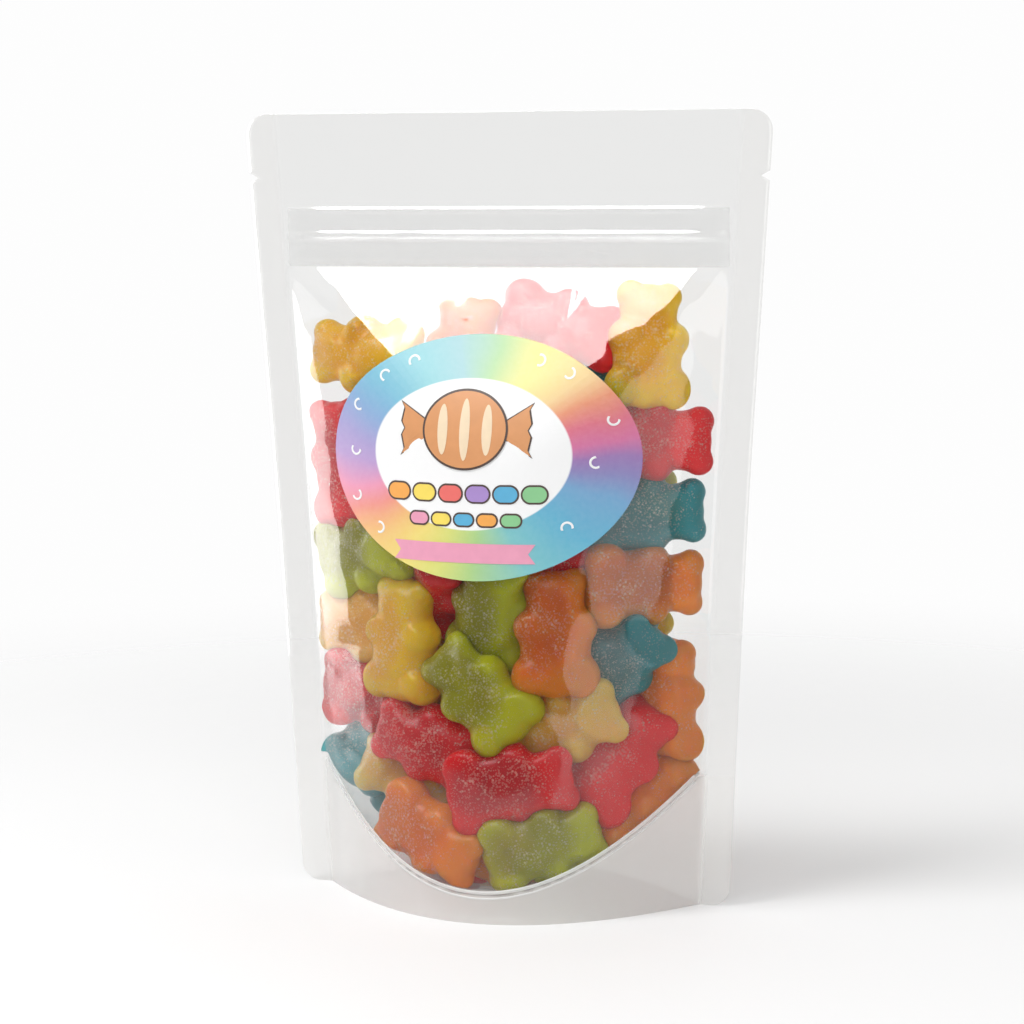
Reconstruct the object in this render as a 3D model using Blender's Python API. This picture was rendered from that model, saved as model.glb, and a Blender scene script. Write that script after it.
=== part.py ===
"""A stand-up pouch of gummy bears: the filled bag, its zip closure and the oval label on its front.

Metres, +Z up. The origin is on the floor at the middle of the base, the front faces -Y and the side
seals lie in the plane Y = 0. The bag is one solid out to the film, with the hollow under its gusset.
"""

import math

import bmesh
import bpy

# The bag, standing and filled. A 100 x 150 mm bag loses a little height when it bulges.
HEIGHT = 0.146
SEAL_WIDTH = 0.006
SEAL_THICKNESS = 0.0006
HEADER_THICKNESS = 0.0010
TOP_CORNER_RADIUS = 0.0042
BOTTOM_CORNER_RADIUS = 0.0035

# Height above the floor, and half the width over both side seals there.
HALF_WIDTHS = [(0.0, 0.0417), (0.036, 0.0434), (0.077, 0.0455), (0.118, 0.0482), (0.146, 0.0500)]
# Height above the floor, and how far the middle of the front stands out from the side seals.
HALF_DEPTHS = [(0.0, 0.0220), (0.020, 0.0214), (0.050, 0.0188), (0.085, 0.0163), (0.118, 0.0145)]

# Under the zip the film slopes out in one flat facet, until it meets the rounded front.
SHOULDER_SLOPE = 0.52
SHOULDER_BLEND = 0.0036

TEAR_NOTCH_DROP = 0.0118
TEAR_NOTCH_DEPTH = 0.0016
TEAR_NOTCH_HALF_HEIGHT = 0.0009

# The zip closure: a bar in a slot of its own, with ribs along it.
ZIP_BOTTOM = 0.1180
ZIP_TOP = 0.1284
ZIP_HALF_LENGTH = 0.0418
ZIP_FLANGE_HALF_THICKNESS = 0.0009
ZIP_RIB_HALF_THICKNESS = 0.0016
ZIP_RIB_HALF_HEIGHT = 0.0009
ZIP_RIB_HEIGHTS = (0.1200, 0.1232, 0.1270)
ZIP_BAND_HALF_THICKNESS = 0.0012

# The gusset: a web across the base, sealed to the front and back along a U-shaped seam.
SEAM_MIDDLE_HEIGHT = 0.0058
SEAM_END_HEIGHT = 0.0250
SEAM_CURVE = 2.0
GUSSET_SAG = 0.0034
SKIRT_THICKNESS = 0.0010
GUSSET_END_GAP = 0.0030

# The label is stuck on by hand, a little to the left of the middle.
LABEL_CENTRE_X = -0.0016
LABEL_CENTRE_HEIGHT = 0.0842
LABEL_HALF_WIDTH = 0.0294
LABEL_HALF_HEIGHT = 0.0219
LABEL_THICKNESS = 0.0004

PIECE_GAP = 0.0003
FRONT_COLUMNS = 28
ROW_SPACING = 0.0044
CORNER_STEPS = 4


def through(stations, height):
    """A smooth curve through (height, value) pairs, read at one height."""
    heights = [station[0] for station in stations]
    values = [station[1] for station in stations]
    height = min(max(height, heights[0]), heights[-1])
    last = len(stations) - 1
    slopes = []
    for i in range(last + 1):
        low, high = max(i - 1, 0), min(i + 1, last)
        slopes.append((values[high] - values[low]) / (heights[high] - heights[low]))
    i = max(k for k in range(last) if heights[k] <= height or k == 0)
    span = heights[i + 1] - heights[i]
    t = (height - heights[i]) / span
    start = values[i] * (1 + 2 * t) * (1 - t) ** 2 + slopes[i] * span * t * (1 - t) ** 2
    end = values[i + 1] * t * t * (3 - 2 * t) + slopes[i + 1] * span * t * t * (t - 1)
    return start + end


def smaller(a, b, blend):
    """The smaller of two lengths, rounded over where they cross."""
    overlap = max(blend - abs(a - b), 0.0) / blend
    return min(a, b) - overlap * overlap * blend / 4


def inner_half_width(height):
    return through(HALF_WIDTHS, height) - SEAL_WIDTH


def round_off(distance, radius):
    """How far a rounded corner takes the edge in, this far from the end of the edge."""
    if distance >= radius:
        return 0.0
    return radius - math.sqrt(radius**2 - (radius - distance) ** 2)


def outer_half_width(height):
    """The outer edge of a side seal, with rounded ends and the tear notch."""
    notch = abs(height - (HEIGHT - TEAR_NOTCH_DROP))
    inset = round_off(HEIGHT - height, TOP_CORNER_RADIUS)
    inset += round_off(height, BOTTOM_CORNER_RADIUS)
    inset += TEAR_NOTCH_DEPTH * max(1 - notch / TEAR_NOTCH_HALF_HEIGHT, 0.0)
    return through(HALF_WIDTHS, height) - inset


def half_depth(x, height):
    """Half the bag's thickness, front to back, at one place on its front."""
    across = min(abs(x) / inner_half_width(height), 1.0)
    rounded = SEAL_THICKNESS / 2 + through(HALF_DEPTHS, height) * (1 - across**2)
    header = HEADER_THICKNESS / 2
    if height >= ZIP_BOTTOM:
        fade = min((height - ZIP_BOTTOM) / (HEIGHT - ZIP_BOTTOM), 1.0)
        flat = ZIP_BAND_HALF_THICKNESS + (header - ZIP_BAND_HALF_THICKNESS) * fade
    else:
        flat = ZIP_BAND_HALF_THICKNESS + SHOULDER_SLOPE * (ZIP_BOTTOM - height)
    return max(smaller(flat, rounded, SHOULDER_BLEND), SEAL_THICKNESS / 2)


def seam_height(x):
    """The height of the U-shaped seam between the gusset and the front or back."""
    across = min(abs(x) / inner_half_width(SEAM_MIDDLE_HEIGHT), 1.0)
    return SEAM_MIDDLE_HEIGHT + (SEAM_END_HEIGHT - SEAM_MIDDLE_HEIGHT) * across**SEAM_CURVE


def row_heights():
    """The heights of the rings that the bag is built from."""
    turns = [i / CORNER_STEPS * math.pi / 2 for i in range(CORNER_STEPS + 1)]
    bottom = [BOTTOM_CORNER_RADIUS * (1 - math.cos(turn)) for turn in turns]
    top = [HEIGHT - TOP_CORNER_RADIUS * (1 - math.cos(turn)) for turn in turns]
    notch = HEIGHT - TEAR_NOTCH_DROP
    notches = [notch - TEAR_NOTCH_HALF_HEIGHT, notch, notch + TEAR_NOTCH_HALF_HEIGHT]
    fixed = bottom + [ZIP_BOTTOM, ZIP_TOP] + notches + top
    between = []
    ordered = sorted(fixed)
    for low, high in zip(ordered, ordered[1:]):
        steps = round((high - low) / ROW_SPACING)
        between += [low + (high - low) * i / steps for i in range(1, steps)]
    return sorted(set(fixed + between))


def front_columns():
    """Places across the front, from -1 to 1, closer together towards the side seals."""
    return [math.sin(math.pi * (i / FRONT_COLUMNS - 0.5)) for i in range(FRONT_COLUMNS + 1)]


def material(name, colour, roughness):
    made = bpy.data.materials.new(name)
    made.use_nodes = True
    shader = made.node_tree.nodes["Principled BSDF"]
    shader.inputs["Base Color"].default_value = (*colour, 1)
    shader.inputs["Roughness"].default_value = roughness
    made.diffuse_color = (*colour, 1)
    return made


def object_from(bm, name, finish=None):
    bm.normal_update()
    bmesh.ops.recalc_face_normals(bm, faces=bm.faces[:])
    mesh = bpy.data.meshes.new(name)
    bm.to_mesh(mesh)
    bm.free()
    made = bpy.data.objects.new(name, mesh)
    bpy.context.scene.collection.objects.link(made)
    if finish:
        mesh.materials.append(finish)
    return made


def skin_rings(bm, rings):
    """Joins closed rings of points, one after the other, and closes both ends."""
    made = [[bm.verts.new(point) for point in ring] for ring in rings]
    for low, high in zip(made, made[1:]):
        for i, vert in enumerate(low):
            after = (i + 1) % len(low)
            bm.faces.new((vert, low[after], high[after], high[i]))
    bm.faces.new(list(reversed(made[0])))
    bm.faces.new(made[-1])


def cut(target, cutter, operation="DIFFERENCE"):
    cutter.hide_render = True
    cutter.display_type = "WIRE"
    modifier = target.modifiers.new(cutter.name, "BOOLEAN")
    modifier.operation = operation
    modifier.object = cutter


def smooth(made, angle_deg):
    made.data.shade_smooth()
    made.data.set_sharp_from_angle(angle=math.radians(angle_deg))


def box(name, low, high):
    bm = bmesh.new()
    bmesh.ops.create_cube(bm, size=1)
    for vert in bm.verts:
        vert.co = [low[k] if vert.co[k] < 0 else high[k] for k in range(3)]
    return object_from(bm, name)


def bag_ring(height):
    """One level section of the bag: the seals' edges, the front and the back."""
    inner, outer = inner_half_width(height), outer_half_width(height)
    front = [(-outer, SEAL_THICKNESS / 2)]
    front += [(u * inner, half_depth(u * inner, height)) for u in front_columns()]
    front += [(outer, SEAL_THICKNESS / 2)]
    ring = [(x, -depth, height) for x, depth in front]
    ring += [(x, depth, height) for x, depth in reversed(front)]
    return ring


def make_bag(finish):
    bm = bmesh.new()
    skin_rings(bm, [bag_ring(height) for height in row_heights()])
    return object_from(bm, "pouch", finish)


def gusset_section(x):
    """The space under the gusset at one place along the bag, from the front round to the back."""
    seam = seam_height(x)
    heights = [-PIECE_GAP * 10, 0.0, seam * 0.5, seam]
    wall = [(max(half_depth(x, max(h, 0.0)) - SKIRT_THICKNESS, SEAL_THICKNESS), h) for h in heights]
    end = inner_half_width(SEAM_MIDDLE_HEIGHT)
    sag = GUSSET_SAG * (1 - (x / end) ** 2)
    reach = wall[-1][0]
    web = [(-reach * f, seam - sag * (1 - f * f)) for f in (0.8, 0.55, 0.28, 0, -0.28, -0.55, -0.8)]
    points = [(-depth, h) for depth, h in wall] + web + [(depth, h) for depth, h in reversed(wall)]
    return [(x, y, z) for y, z in points]


def gusset_cutter():
    """The hollow under the gusset, open to the floor."""
    end = inner_half_width(0.0) - GUSSET_END_GAP
    bm = bmesh.new()
    skin_rings(bm, [gusset_section(end * u) for u in front_columns()])
    return object_from(bm, "gusset_space")


def make_zip(finish):
    """Two flanges with three ribs along them, the same at the front and the back."""
    outline = [(ZIP_FLANGE_HALF_THICKNESS, ZIP_BOTTOM)]
    for centre in ZIP_RIB_HEIGHTS:
        for i in range(7):
            turn = math.pi * (i / 6 - 0.5)
            rise = ZIP_RIB_HALF_THICKNESS - ZIP_FLANGE_HALF_THICKNESS
            outline.append(
                (
                    ZIP_FLANGE_HALF_THICKNESS + rise * math.cos(turn),
                    centre + ZIP_RIB_HALF_HEIGHT * math.sin(turn),
                )
            )
    outline.append((ZIP_FLANGE_HALF_THICKNESS, ZIP_TOP))
    section = [(-depth, z) for depth, z in outline] + [(depth, z) for depth, z in reversed(outline)]
    bm = bmesh.new()
    ends = (-ZIP_HALF_LENGTH, ZIP_HALF_LENGTH)
    skin_rings(bm, [[(x, y, z) for y, z in section] for x in ends])
    return object_from(bm, "zip", finish)


def zip_slot():
    side = ZIP_HALF_LENGTH + PIECE_GAP
    reach = 0.01
    low = (-side, -reach, ZIP_BOTTOM - PIECE_GAP)
    high = (side, reach, ZIP_TOP + PIECE_GAP)
    return box("zip_slot", low, high)


def make_label(finish):
    """The label's sheet follows the bag's own grid of points, a gap in front of it."""
    margin = 2 * ROW_SPACING
    low = LABEL_CENTRE_HEIGHT - LABEL_HALF_HEIGHT - margin
    high = LABEL_CENTRE_HEIGHT + LABEL_HALF_HEIGHT + margin
    rows = [height for height in row_heights() if low < height < high]
    columns = front_columns()[2:-2]
    bm = bmesh.new()
    rings = []
    for u in columns:
        places = [(u * inner_half_width(height), height) for height in rows]
        near = [(x, -half_depth(x, z) - PIECE_GAP, z) for x, z in places]
        far = [(x, y - LABEL_THICKNESS, z) for x, y, z in near]
        rings.append(near + far[::-1])
    skin_rings(bm, rings)
    return object_from(bm, "label", finish)


# The oval block that cuts the label sheet out, deep enough to reach through it, and the angle in
# degrees above which an edge stays sharp.
LABEL_CUTTER_DEPTH = 0.04
LABEL_CUTTER_CENTRE_Y = -0.021
SHARP_ANGLE = 40


def label_outline():
    bm = bmesh.new()
    bmesh.ops.create_cone(bm, cap_ends=True, segments=64, radius1=1, radius2=1, depth=1)
    for vert in bm.verts:
        x, z, y = vert.co
        vert.co = (
            LABEL_CENTRE_X + x * LABEL_HALF_WIDTH,
            y * LABEL_CUTTER_DEPTH + LABEL_CUTTER_CENTRE_Y,
            LABEL_CENTRE_HEIGHT + z * LABEL_HALF_HEIGHT,
        )
    return object_from(bm, "label_outline")


def main():
    for old in list(bpy.data.objects):
        bpy.data.objects.remove(old, do_unlink=True)
    film = material("film", (0.86, 0.86, 0.84), 0.25)
    zip_plastic = material("zip_plastic", (0.92, 0.92, 0.90), 0.35)
    label_paper = material("label_paper", (0.55, 0.76, 0.86), 0.45)

    pouch = make_bag(film)
    cut(pouch, gusset_cutter())
    cut(pouch, zip_slot())
    smooth(pouch, SHARP_ANGLE)

    closure = make_zip(zip_plastic)
    smooth(closure, SHARP_ANGLE)

    label = make_label(label_paper)
    cut(label, label_outline(), "INTERSECT")
    smooth(label, SHARP_ANGLE)


main()
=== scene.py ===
"""A clear stand-up pouch of gummy bears: its film, zip, label and the bears inside.

Metres, +Z up. The bag's front faces -Y and its side seals lie in the plane Y = 0, as in the CAD frame.
"""

import math
import random

import bpy
import numpy as np
from mathutils import Matrix, Vector, noise


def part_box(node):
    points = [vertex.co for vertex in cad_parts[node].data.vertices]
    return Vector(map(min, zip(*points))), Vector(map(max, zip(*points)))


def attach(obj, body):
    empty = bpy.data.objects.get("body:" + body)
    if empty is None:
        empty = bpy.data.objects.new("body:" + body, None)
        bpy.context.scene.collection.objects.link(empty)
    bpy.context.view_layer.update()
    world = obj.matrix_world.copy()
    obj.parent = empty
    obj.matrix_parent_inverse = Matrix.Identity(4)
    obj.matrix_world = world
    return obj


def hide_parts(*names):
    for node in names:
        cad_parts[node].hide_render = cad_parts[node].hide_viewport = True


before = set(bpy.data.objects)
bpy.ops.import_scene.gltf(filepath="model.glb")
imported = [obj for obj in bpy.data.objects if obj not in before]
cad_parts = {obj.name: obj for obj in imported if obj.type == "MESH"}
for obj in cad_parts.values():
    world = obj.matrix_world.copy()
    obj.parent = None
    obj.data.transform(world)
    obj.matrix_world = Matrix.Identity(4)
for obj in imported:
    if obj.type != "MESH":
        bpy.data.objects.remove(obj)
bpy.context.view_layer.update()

MM = 0.001
BAG_LOW, BAG_HIGH = (list(corner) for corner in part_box("pouch"))
ZIP_LOW, ZIP_HIGH = (list(corner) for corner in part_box("zip"))
LABEL_LOW, LABEL_HIGH = (list(corner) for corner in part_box("label"))

# The bag's outline and bulge, as the frame's solid has them.
HEIGHT = BAG_HIGH[2]
SEAL_WIDTH = 6.0 * MM
TOP_CORNER = 4.2 * MM
BOTTOM_CORNER = 3.5 * MM
HALF_WIDTHS = [(0.0, 41.7), (36.0, 43.4), (77.0, 45.5), (118.0, 48.2), (146.0, 50.0)]
HALF_DEPTHS = [(0.0, 22.0), (20.0, 21.4), (50.0, 18.8), (85.0, 16.3), (118.0, 14.5)]
SHOULDER_SLOPE = 0.52
SHOULDER_BLEND = 3.6 * MM
SHOULDER_TOP = ZIP_LOW[2]
TEAR_NOTCH_HEIGHT = HEIGHT - 11.8 * MM
TEAR_NOTCH_DEPTH = 1.6 * MM
TEAR_NOTCH_HALF_HEIGHT = 0.9 * MM
SEAM_MIDDLE = 5.8 * MM
SEAM_END = 25.0 * MM
GUSSET_SAG = 3.4 * MM

LABEL_CENTRE = ((LABEL_LOW[0] + LABEL_HIGH[0]) / 2, (LABEL_LOW[2] + LABEL_HIGH[2]) / 2)
LABEL_HALF = ((LABEL_HIGH[0] - LABEL_LOW[0]) / 2, (LABEL_HIGH[2] - LABEL_LOW[2]) / 2)
LABEL_LIFT = 0.2 * MM

FILM_THICKNESS = 0.12 * MM
SEAL_OFFSET = 0.16 * MM
ZIP_BAND_OFFSET = 1.45 * MM
HEADER_OFFSET = 0.35 * MM


def deselect_all():
    if bpy.context.mode != "OBJECT":
        bpy.ops.object.mode_set(mode="OBJECT")
    bpy.ops.object.select_all(action="DESELECT")


def pick(*pieces):
    deselect_all()
    for piece in pieces:
        piece.select_set(True)
    bpy.context.view_layer.objects.active = pieces[0]


def named(name):
    """Names the piece that was just added."""
    piece = bpy.context.object
    piece.name = name
    piece.data.name = name
    return piece


def apply_modifier(piece, kind, **settings):
    pick(piece)
    modifier = piece.modifiers.new(kind.title(), kind)
    for key, value in settings.items():
        setattr(modifier, key, value)
    bpy.ops.object.modifier_apply(modifier=modifier.name)


def settle_transform(piece):
    """Leaves the piece at the origin, with its place in its mesh."""
    pick(piece)
    bpy.ops.object.transform_apply(location=True, rotation=True, scale=True)


def points_of(piece):
    flat = np.empty(len(piece.data.vertices) * 3, np.float32)
    piece.data.vertices.foreach_get("co", flat)
    return flat.reshape(-1, 3).astype(np.float64)


def move_points(piece, points):
    piece.data.vertices.foreach_set("co", np.asarray(points, np.float32).ravel())
    piece.data.update()


def write_attribute(piece, name, values):
    attribute = piece.data.attributes.new(name, "FLOAT", "POINT")
    attribute.data.foreach_set("value", np.asarray(values, np.float32))


# ---------------------------------------------------------------- the bag's shape


def through(stations, height):
    """A smooth curve through (height, value) pairs in millimetres, read at heights in metres."""
    heights = np.array([station[0] for station in stations]) * MM
    values = np.array([station[1] for station in stations]) * MM
    slopes = np.gradient(values, heights)
    height = np.clip(height, heights[0], heights[-1])
    i = np.clip(np.searchsorted(heights, height, side="right") - 1, 0, len(heights) - 2)
    span = heights[i + 1] - heights[i]
    t = (height - heights[i]) / span
    start = values[i] * (1 + 2 * t) * (1 - t) ** 2 + slopes[i] * span * t * (1 - t) ** 2
    end = values[i + 1] * t * t * (3 - 2 * t) + slopes[i + 1] * span * t * t * (t - 1)
    return start + end


def inner_half_width(height):
    return through(HALF_WIDTHS, height) - SEAL_WIDTH


def round_off(distance, radius):
    inside = np.clip(distance, 0.0, radius)
    return radius - np.sqrt(radius**2 - (radius - inside) ** 2)


def outer_half_width(height):
    notch = np.abs(height - TEAR_NOTCH_HEIGHT) / TEAR_NOTCH_HALF_HEIGHT
    inset = round_off(HEIGHT - height, TOP_CORNER) + round_off(height, BOTTOM_CORNER)
    inset = inset + TEAR_NOTCH_DEPTH * np.maximum(1 - notch, 0.0)
    return through(HALF_WIDTHS, height) - inset


def smaller(a, b, blend):
    """The smaller of two lengths, rounded over where they cross."""
    overlap = np.maximum(blend - np.abs(a - b), 0.0) / blend
    return np.minimum(a, b) - overlap * overlap * blend / 4


def hump(height, middle, width):
    return np.exp(-(((height - middle) / width) ** 2))


def closure_offset(height):
    """How far the film stands out over the zip and in the header above it."""
    rise = np.clip((height - ZIP_HIGH[2]) / (HEIGHT - ZIP_HIGH[2]), 0.0, 1.0)
    flat = ZIP_BAND_OFFSET + (HEADER_OFFSET - ZIP_BAND_OFFSET) * rise**0.5
    ribs = 0.55 * MM * hump(height, ZIP_LOW[2] + 5.6 * MM, 0.8 * MM)
    ribs = ribs + 0.22 * MM * hump(height, ZIP_LOW[2] + 0.3 * MM, 0.5 * MM)
    ribs = ribs + 0.22 * MM * hump(height, ZIP_HIGH[2] - 0.3 * MM, 0.5 * MM)
    return flat + ribs


def half_depth(x, height):
    """Half the bag's thickness, front to back, at one place on its front."""
    across = np.minimum(np.abs(x) / inner_half_width(height), 1.0)
    rounded = SEAL_OFFSET + through(HALF_DEPTHS, height) * (1 - across**2)
    slope = ZIP_BAND_OFFSET + SHOULDER_SLOPE * (SHOULDER_TOP - height)
    flat = np.where(height >= SHOULDER_TOP, closure_offset(height), slope)
    return np.maximum(smaller(flat, rounded, SHOULDER_BLEND), SEAL_OFFSET)


def seam_height(x):
    across = np.minimum(np.abs(x) / inner_half_width(SEAM_MIDDLE), 1.0)
    return SEAM_MIDDLE + (SEAM_END - SEAM_MIDDLE) * across**2


def gusset_height(x, y):
    """The web under the bears, which hangs between the front and back seams."""
    seam = seam_height(x)
    reach = np.maximum(half_depth(x, seam), MM)
    across = np.minimum(np.abs(y) / reach, 1.0)
    end = inner_half_width(SEAM_MIDDLE)
    sag = GUSSET_SAG * np.maximum(1 - (x / end) ** 2, 0.0)
    return seam - sag * (1 - across**2)


# ---------------------------------------------------------------- materials


def new_material(name, slot_colour):
    made = bpy.data.materials.new(name)
    made.use_nodes = True
    made.diffuse_color = (*slot_colour, 1)
    made.node_tree.nodes.clear()
    return made


def node(material, kind, **settings):
    made = material.node_tree.nodes.new(kind)
    for key, value in settings.items():
        if key in made.inputs:
            made.inputs[key].default_value = value
        else:
            setattr(made, key, value)
    return made


def link(material, out, into):
    material.node_tree.links.new(out, into)


def maths(material, operation, a, b=None, clamp=False):
    made = node(material, "ShaderNodeMath", operation=operation, use_clamp=clamp)
    for socket, value in zip(made.inputs, (a, b)):
        if value is None:
            continue
        if isinstance(value, (int, float)):
            socket.default_value = value
        else:
            link(material, value, socket)
    return made.outputs[0]


def mix_colour(material, factor, a, b):
    made = node(material, "ShaderNodeMix", data_type="RGBA")
    for socket, value in ((made.inputs[0], factor), (made.inputs[6], a), (made.inputs[7], b)):
        if isinstance(value, (int, float, tuple)):
            socket.default_value = value
        else:
            link(material, value, socket)
    return made.outputs[2]


def ramp(material, factor, stops, interpolation="LINEAR"):
    made = node(material, "ShaderNodeValToRGB")
    made.color_ramp.interpolation = interpolation
    elements = made.color_ramp.elements
    while len(elements) < len(stops):
        elements.new(0.5)
    for element, (place, colour) in zip(elements, stops):
        element.position = place
        element.color = colour if len(colour) == 4 else (*colour, 1)
    link(material, factor, made.inputs[0])
    return made.outputs[0]


def object_place(material):
    return node(material, "ShaderNodeTexCoord").outputs["Object"]


def noise_pattern(material, place, scale, detail=2.0, roughness=0.5):
    made = node(material, "ShaderNodeTexNoise", Scale=scale, Detail=detail, Roughness=roughness)
    link(material, place, made.inputs["Vector"])
    return made.outputs["Fac"]


def film_material():
    """Clear film: glossy, see-through, a little milky, and milkier where two films are welded."""
    film = new_material("clear_film", (0.9, 0.9, 0.9))
    place = object_place(film)
    weld = node(film, "ShaderNodeAttribute", attribute_name="weld").outputs["Fac"]
    ripple = noise_pattern(film, place, 70.0, 2.0)
    fine = noise_pattern(film, place, 900.0, 2.0)
    ribs = node(film, "ShaderNodeTexWave", wave_type="BANDS", bands_direction="Z", Scale=230.0)
    link(film, place, ribs.inputs["Vector"])
    pressed = maths(film, "SUBTRACT", weld, 0.6, clamp=True)
    embossed = maths(film, "MULTIPLY", ribs.outputs["Fac"], pressed)
    relief = maths(film, "ADD", ripple, maths(film, "MULTIPLY", embossed, 0.25))
    relief = maths(film, "ADD", relief, maths(film, "MULTIPLY", fine, 0.05))
    bump = node(film, "ShaderNodeBump", Strength=0.3, Distance=0.3 * MM)
    link(film, relief, bump.inputs["Height"])

    facing = node(film, "ShaderNodeLayerWeight", Blend=0.5).outputs["Facing"]
    edge = maths(film, "POWER", facing, 4.0)
    gloss_share = maths(film, "MULTIPLY_ADD", edge, 0.75)
    gloss_share.node.inputs[2].default_value = 0.05
    back = node(film, "ShaderNodeNewGeometry").outputs["Backfacing"]
    outside = maths(film, "SUBTRACT", 1.0, back)
    gloss_share = maths(film, "MULTIPLY", gloss_share, outside, clamp=True)

    milk = maths(film, "MULTIPLY_ADD", weld, 0.36)
    milk.node.inputs[2].default_value = 0.004
    milk = maths(film, "ADD", milk, maths(film, "MULTIPLY", edge, 0.25))
    milk = maths(film, "MULTIPLY", milk, outside, clamp=True)

    clear = node(film, "ShaderNodeBsdfTransparent", Color=(0.975, 0.975, 0.973, 1))
    # The veil's warm tint is painted bounce light, standing in for the warm light the bears throw onto the
    # film.
    milky = node(film, "ShaderNodeBsdfTranslucent", Color=(0.95, 0.93, 0.91, 1))
    white = node(film, "ShaderNodeBsdfDiffuse", Color=(0.95, 0.93, 0.91, 1))
    veil = node(film, "ShaderNodeMixShader", Fac=0.7)
    link(film, milky.outputs[0], veil.inputs[1])
    link(film, white.outputs[0], veil.inputs[2])
    body = node(film, "ShaderNodeMixShader")
    link(film, milk, body.inputs[0])
    link(film, clear.outputs[0], body.inputs[1])
    link(film, veil.outputs[0], body.inputs[2])
    gloss = node(film, "ShaderNodeBsdfGlossy", Color=(1, 1, 1, 1), Roughness=0.045)
    link(film, bump.outputs[0], gloss.inputs["Normal"])
    skin = node(film, "ShaderNodeMixShader")
    link(film, gloss_share, skin.inputs[0])
    link(film, body.outputs[0], skin.inputs[1])
    link(film, gloss.outputs[0], skin.inputs[2])
    out = node(film, "ShaderNodeOutputMaterial")
    link(film, skin.outputs[0], out.inputs["Surface"])
    return film


def milky_plastic(name, milkiness):
    """Milky plastic that lets light through from both sides."""
    made = new_material(name, (0.95, 0.95, 0.94))
    place = object_place(made)
    cloud = noise_pattern(made, place, 140.0)
    colour = mix_colour(made, cloud, (0.90, 0.91, 0.91, 1), (0.98, 0.98, 0.98, 1))
    clear = node(made, "ShaderNodeBsdfTransparent", Color=(0.98, 0.98, 0.98, 1))
    through_light = node(made, "ShaderNodeBsdfTranslucent")
    milky = node(made, "ShaderNodeBsdfPrincipled", Roughness=0.22)
    for shader, socket in ((through_light, "Color"), (milky, "Base Color")):
        link(made, colour, shader.inputs[socket])
    veil = node(made, "ShaderNodeMixShader", Fac=0.5)
    link(made, through_light.outputs[0], veil.inputs[1])
    link(made, milky.outputs[0], veil.inputs[2])
    both = node(made, "ShaderNodeMixShader", Fac=milkiness)
    link(made, clear.outputs[0], both.inputs[1])
    link(made, veil.outputs[0], both.inputs[2])
    out = node(made, "ShaderNodeOutputMaterial")
    link(made, both.outputs[0], out.inputs["Surface"])
    return made


# Fine faint dust and coarser bright grains, whose pale specks are partly real dust and partly painted
# glints: cells to the metre, share of a cell, and strength.
DUST_AND_GLINT_LAYERS = [(2300.0, 0.84, 0.36), (1150.0, 0.52, 0.85)]


def gummy_material(name, bright, deep, radius):
    """Gelatine with painted glow and shade: deep in the middle, bright at the edges and brightest away from
    the key light, as light shining through would make it, with a fine dusting over it whose specks are
    partly painted glints.
    """
    made = new_material(name, bright)
    place = object_place(made)
    tint = node(made, "ShaderNodeAttribute", attribute_name="tint").outputs["Fac"]
    thin = node(made, "ShaderNodeAttribute", attribute_name="thin").outputs["Fac"]
    cloud = noise_pattern(made, place, 170.0, 2.0)
    # Random tone from cloud and tint, plus painted glow and shade from thin: bright rims, brightest away
    # from the key light, and a deep middle.
    tone_and_painted_glow = maths(made, "MULTIPLY_ADD", cloud, 0.5)
    link(made, maths(made, "MULTIPLY_ADD", tint, 0.35), tone_and_painted_glow.node.inputs[2])
    tone_and_painted_glow = maths(made, "ADD", tone_and_painted_glow, maths(made, "SUBTRACT", thin, 0.35), clamp=True)
    body = mix_colour(made, tone_and_painted_glow, (*deep, 1), (*bright, 1))

    patches = noise_pattern(made, place, 260.0, 2.0, 0.6)
    # Partly painted glints: the specks thin out on the glowing rims and gather on the side the key light
    # falls on.
    patches = maths(made, "SUBTRACT", patches, maths(made, "MULTIPLY", thin, 0.22))
    dust_and_glints = None
    for scale, reach, strength in DUST_AND_GLINT_LAYERS:
        specks = node(made, "ShaderNodeTexVoronoi", feature="F1", Scale=scale, Randomness=1.0)
        link(made, place, specks.inputs["Vector"])
        dots = maths(made, "MULTIPLY", patches, reach)
        dots = maths(made, "SUBTRACT", dots, specks.outputs["Distance"])
        dots = maths(made, "MULTIPLY", dots, 9.0, clamp=True)
        dots = maths(made, "MULTIPLY", dots, strength)
        dust_and_glints = dots if dust_and_glints is None else maths(made, "MAXIMUM", dust_and_glints, dots)
    pale = tuple(0.35 * c + white for c, white in zip(bright, (0.60, 0.54, 0.47)))
    skin = mix_colour(made, dust_and_glints, body, (*pale, 1))

    pores = noise_pattern(made, place, 800.0, 3.0, 0.6)
    relief = maths(made, "ADD", maths(made, "MULTIPLY", pores, 0.6), dust_and_glints)
    bump = node(made, "ShaderNodeBump", Strength=0.35, Distance=0.12 * MM)
    link(made, relief, bump.inputs["Height"])

    shader = node(made, "ShaderNodeBsdfPrincipled", Roughness=0.34, IOR=1.36)
    shader.inputs["Specular IOR Level"].default_value = 0.3
    shader.inputs["Subsurface Weight"].default_value = 1.0
    shader.inputs["Subsurface Radius"].default_value = radius
    shader.inputs["Subsurface Scale"].default_value = 5.0 * MM
    shader.inputs["Transmission Weight"].default_value = 0.5
    link(made, skin, shader.inputs["Base Color"])
    link(made, bump.outputs[0], shader.inputs["Normal"])
    out = node(made, "ShaderNodeOutputMaterial")
    link(made, shader.outputs[0], out.inputs["Surface"])
    return made


# ---------------------------------------------------------------- film


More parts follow.
